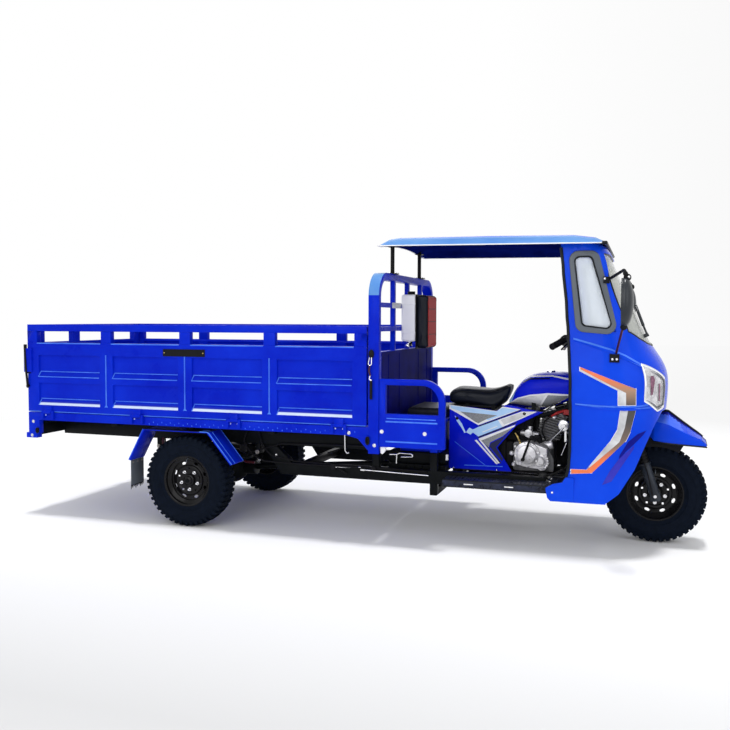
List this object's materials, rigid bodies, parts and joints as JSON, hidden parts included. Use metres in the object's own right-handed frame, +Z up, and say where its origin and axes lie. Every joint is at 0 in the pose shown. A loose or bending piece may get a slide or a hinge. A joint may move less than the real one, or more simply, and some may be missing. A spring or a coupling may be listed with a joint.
{
  "type": "three-wheeled cargo motor tricycle",
  "caption": "Cargo motor tricycle: half cab with roof, open engine bay, and a long bed with hinged drop sides and tailgate.",
  "frame": {"origin": "on the floor, under the middle of the vehicle's length and width", "axes": "+X forward, +Y to the vehicle's left, +Z up"},
  "size_m": [4.327, 1.508, 1.8127],
  "materials": {
    "blue_paint": "gloss blue enamel",
    "blue_plastic": "gloss blue moulding",
    "black_paint": "semi-gloss black paint",
    "black_plastic": "grained black plastic",
    "tyre_rubber": "matte tyre rubber",
    "seal_rubber": "matte rubber",
    "seat_vinyl": "soft black vinyl",
    "red_vinyl": "soft red and black vinyl",
    "clear_glass": "clear glass",
    "lamp_lens": "clear lens over a bright reflector",
    "red_lens": "red lens",
    "cast_alloy": "satin cast alloy",
    "bright_steel": "brushed steel",
    "white_tank": "translucent white plastic",
    "chassis_paint": "satin black chassis paint"
  },
  "bodies": {
    "chassis": {"chassis_rails": "chassis_paint", "chassis_cross_tubes": "chassis_paint", "battery_box": "chassis_paint", "main_frame": "chassis_paint", "subframe_rails": "chassis_paint", "subframe_bearers": "chassis_paint", "bed_deck": "blue_paint", "bed_sills": "blue_paint", "headboard": "blue_paint", "seat_guards": "blue_paint", "rear_platform": "blue_paint", "deck_cushion": "seat_vinyl", "water_tank": "white_tank", "backrest": "red_vinyl", "roof_posts": "black_paint", "cab_sides": "blue_plastic", "cab_nose": "blue_plastic", "cab_header": "blue_plastic", "glazing": "clear_glass", "window_seals": "seal_rubber", "headlamps": "lamp_lens", "roof": "blue_plastic", "seat": "seat_vinyl", "fuel_tank": "blue_paint", "side_covers": "blue_plastic", "engine_crankcase": "cast_alloy", "engine_cylinder": "cast_alloy", "exhaust": "bright_steel", "footboards": "black_paint", "inner_shield": "black_plastic", "dashboard": "black_plastic", "rear_axle": "chassis_paint", "leaf_springs": "chassis_paint", "rear_mudguards": "blue_paint", "mud_flaps": "seal_rubber", "tail_lamps": "red_lens", "mirrors": "black_plastic"},
    "steering": {"front_fork": "black_paint", "handlebar": "black_paint", "front_fender": "blue_plastic"},
    "front_wheel": {"front_tyre": "tyre_rubber", "front_rim": "black_paint"},
    "rear_wheel_right": {"rear_tyre_right": "tyre_rubber", "rear_rim_right": "black_paint"},
    "rear_wheel_left": {"rear_tyre_left": "tyre_rubber", "rear_rim_left": "black_paint"},
    "side_panel_right": {"side_panel_right": "blue_paint", "side_rail_right": "blue_paint"},
    "side_panel_left": {"side_panel_left": "blue_paint", "side_rail_left": "blue_paint"},
    "tailgate": {"tailgate": "blue_paint"}
  },
  "joints": [
    {"name": "steer", "type": "hinge", "parent": "chassis", "child": "steering", "pos_m": [1.645, 0, 0.88], "axis": [-0.309, 0, 0.9511], "range_deg": [-35, 35]},
    {"name": "front_wheel_spin", "type": "hinge", "parent": "steering", "child": "front_wheel", "pos_m": [1.8735, 0, 0.29], "axis": [0, 1, 0], "continuous": true},
    {"name": "rear_wheel_right_spin", "type": "hinge", "parent": "chassis", "child": "rear_wheel_right", "pos_m": [-0.9415, -0.5775, 0.29], "axis": [0, 1, 0], "continuous": true},
    {"name": "rear_wheel_left_spin", "type": "hinge", "parent": "chassis", "child": "rear_wheel_left", "pos_m": [-0.9415, 0.5775, 0.29], "axis": [0, 1, 0], "continuous": true},
    {"name": "side_panel_right_drop", "type": "hinge", "parent": "chassis", "child": "side_panel_right", "pos_m": [-0.9415, -0.664, 0.694], "axis": [1, 0, 0], "range_deg": [0, 176]},
    {"name": "side_panel_left_drop", "type": "hinge", "parent": "chassis", "child": "side_panel_left", "pos_m": [-0.9415, 0.664, 0.694], "axis": [-1, 0, 0], "range_deg": [0, 176]},
    {"name": "tailgate_drop", "type": "hinge", "parent": "chassis", "child": "tailgate", "pos_m": [-2.1555, 0, 0.694], "axis": [0, -1, 0], "range_deg": [0, 176]}
  ]
}
